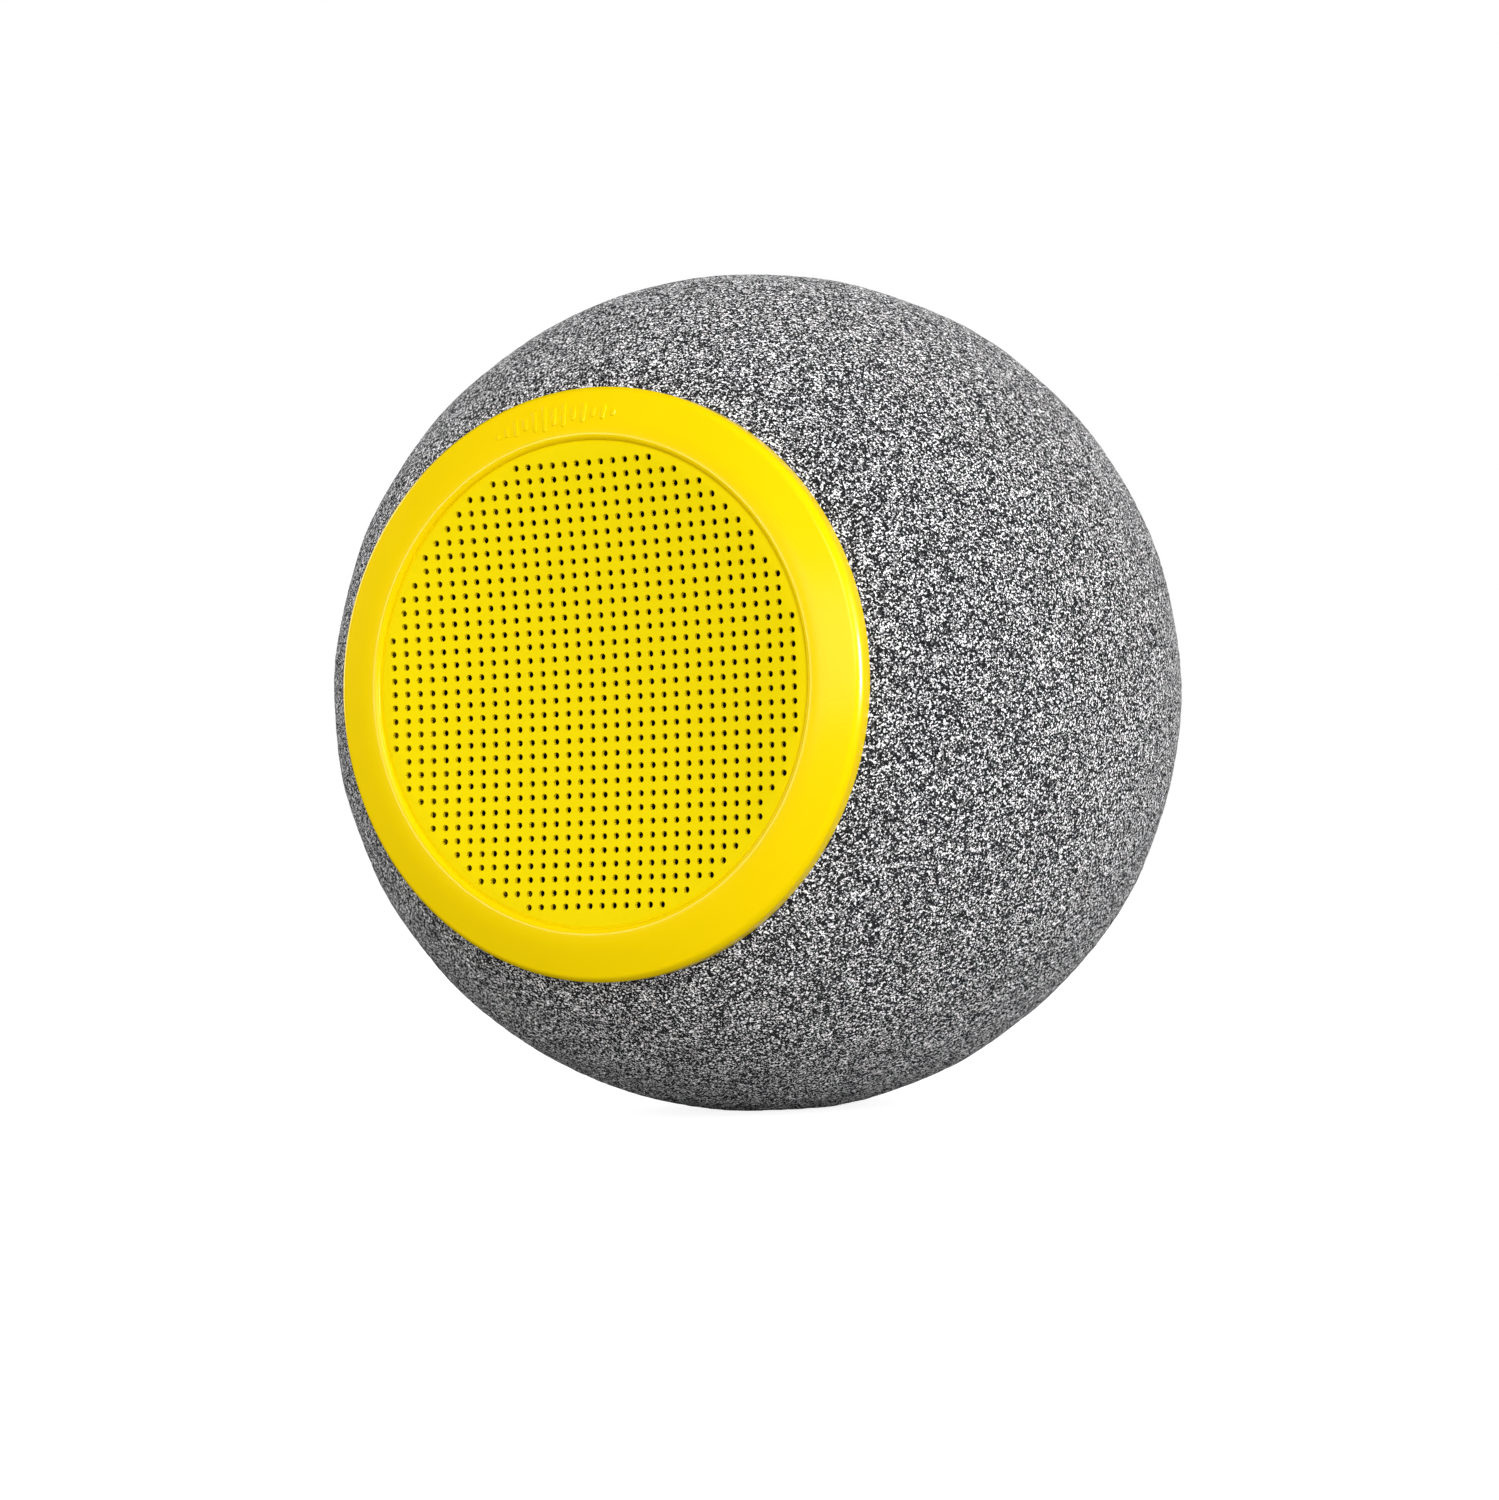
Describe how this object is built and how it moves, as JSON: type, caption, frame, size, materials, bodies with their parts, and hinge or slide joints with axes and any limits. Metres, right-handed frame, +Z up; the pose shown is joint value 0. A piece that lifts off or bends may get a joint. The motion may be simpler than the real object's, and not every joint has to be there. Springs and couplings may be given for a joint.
{
  "type": "microphone foam isolation ball",
  "caption": "Soft speckled foam ball that goes over a studio microphone, with a round dished pop filter plugged into its front that pulls straight out.",
  "frame": {"origin": "centre of the small flat on which the foam ball rests, straight below the ball's centre", "axes": "+Z up; the pop filter faces -Y and pulls out along -Y; the microphone hole opens at -X"},
  "size_m": [0.197, 0.1822, 0.196],
  "materials": {
    "foam": "matte, salt-and-pepper open-cell foam",
    "yellow_moulding": "satin yellow moulded plastic",
    "yellow_screen": "satin yellow moulded plastic, perforated",
    "black_nylon": "fine black nylon mesh",
    "black_moulding": "matte black moulded plastic"
  },
  "bodies": {
    "foam": {"foam_ball": "foam"},
    "filter": {"filter_bezel": "yellow_moulding", "filter_screen": "yellow_screen", "filter_mesh": "black_nylon", "mesh_retaining_ring": "black_moulding"}
  },
  "joints": [
    {"name": "filter_pull", "type": "slide", "parent": "foam", "child": "filter", "axis": [0, -1, 0], "range_m": [0, 0.06]}
  ]
}
